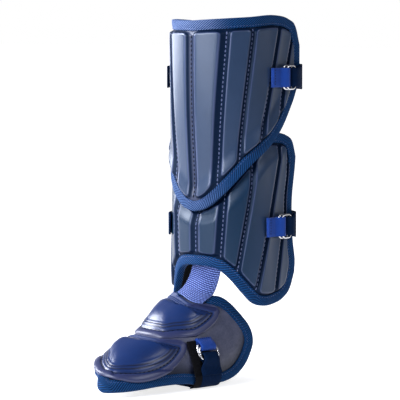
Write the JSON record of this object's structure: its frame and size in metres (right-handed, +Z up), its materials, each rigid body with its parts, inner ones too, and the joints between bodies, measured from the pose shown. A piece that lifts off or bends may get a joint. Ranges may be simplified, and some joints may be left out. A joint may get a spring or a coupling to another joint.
{
  "type": "batters leg and foot guard",
  "caption": "Padded guard for a batter's left leg: ribbed shin panels bound with tape, webbed at the ankle to a foot pad with domed caps, held on by ring-cinched straps.",
  "frame": {"origin": "on the leg's axis in the shin's hollow, 260 mm above the sole", "axes": "+Z up along the shin, -Y ahead towards the toe, +X to the outer side of the left leg"},
  "size_m": [0.1404, 0.2936, 0.3989],
  "materials": {
    "vinyl": "smooth synthetic leather over foam ribs, satin",
    "pad_vinyl": "grained synthetic leather, satin",
    "tape": "twill binding tape",
    "moulded_cap": "moulded synthetic leather, glossy",
    "pale_webbing": "coarse ribbed webbing",
    "tab_webbing": "woven webbing",
    "elastic": "woven elastic",
    "nickel": "plated wire"
  },
  "bodies": {
    "root": {"upper_panel": "vinyl", "upper_binding": "tape", "lower_panel": "vinyl", "lower_binding": "tape", "ankle_webbing": "pale_webbing", "foot_pad": "pad_vinyl", "foot_binding": "tape", "instep_cap": "moulded_cap", "toe_cap": "moulded_cap", "upper_tab": "tab_webbing", "upper_ring_inner": "nickel", "upper_ring_outer": "nickel", "upper_strap": "elastic", "lower_tab": "tab_webbing", "lower_ring_inner": "nickel", "lower_ring_outer": "nickel", "lower_strap": "elastic", "foot_tab": "tab_webbing", "foot_ring_inner": "nickel", "foot_ring_outer": "nickel", "foot_strap": "elastic"}
  },
  "joints": []
}
